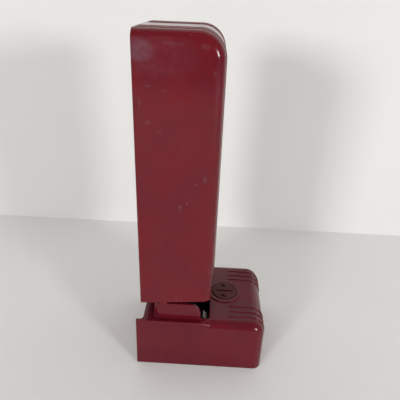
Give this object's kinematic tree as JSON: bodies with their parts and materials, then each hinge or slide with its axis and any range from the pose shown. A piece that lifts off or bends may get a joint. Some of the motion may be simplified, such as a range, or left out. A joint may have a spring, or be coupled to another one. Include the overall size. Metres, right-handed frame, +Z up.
{
  "type": "stapler",
  "caption": "Streamlined maroon desk stapler with a ribbed base, a turnable anvil and a long hinged arm standing upright; a press key drives staples, a door loads them.",
  "frame": {"origin": "middle of the underside, on the surface that the stapler stands on", "axes": "+Z up, +X from the hinge end to the anvil end, Y across the base"},
  "size_m": [0.07, 0.0566, 0.1745],
  "materials": {
    "maroon_plastic": "satin moulded phenolic, scuffed",
    "black_steel": "blackened",
    "steel": "bright",
    "spring_steel": "dull",
    "anvil_steel": "tarnished",
    "zinc_wire": "zinc plated",
    "brass": "dull",
    "rubber": "matt"
  },
  "bodies": {
    "base": {"base_shell": "maroon_plastic", "base_plate": "black_steel", "base_plate_screws": "steel", "base_pad": "rubber", "hinge_pin": "steel", "spring_leaves": "spring_steel", "leaf_rivets": "brass", "anvil_washer": "spring_steel"},
    "anvil": {"anvil_disc": "anvil_steel", "anvil_clip": "spring_steel"},
    "arm": {"arm_cover": "maroon_plastic", "hinge_bushes": "brass", "back_plate": "maroon_plastic", "back_plate_screws": "steel", "key_springs": "spring_steel", "magazine": "steel", "magazine_screws": "steel", "nose_plate": "anvil_steel", "driver_guide": "black_steel", "staple_strip": "zinc_wire", "rod_bracket": "steel", "guide_rod": "steel", "follower_spring": "spring_steel", "door_pin": "steel"},
    "plunger": {"press_key": "maroon_plastic", "driver_blade": "spring_steel", "blade_rivets": "brass"},
    "follower": {"follower": "black_steel"},
    "door": {"loading_door": "maroon_plastic"}
  },
  "joints": [
    {"name": "arm_hinge", "type": "hinge", "parent": "base", "child": "arm", "pos_m": [-0.011, 0, 0.0486], "axis": [0, 1, 0], "range_deg": [0, 90]},
    {"name": "anvil_turn", "type": "hinge", "parent": "base", "child": "anvil", "pos_m": [0.0125, 0, 0.03], "axis": [0, 0, 1], "continuous": true},
    {"name": "key_press", "type": "slide", "parent": "arm", "child": "plunger", "axis": [1, 0, 0], "range_m": [0, 0.0094], "stiffness_N_per_m": 300, "springref_m": -0.006, "deforming": ["key_springs"]},
    {"name": "follower_slide", "type": "slide", "parent": "arm", "child": "follower", "axis": [0, 0, 1], "range_m": [0, 0.016], "stiffness_N_per_m": 60, "springref_m": -0.03, "deforming": ["follower_spring"]},
    {"name": "door_hinge", "type": "hinge", "parent": "arm", "child": "door", "pos_m": [-0.0296, 0, 0.16894], "axis": [0, 1, 0], "range_deg": [0, 90]}
  ]
}
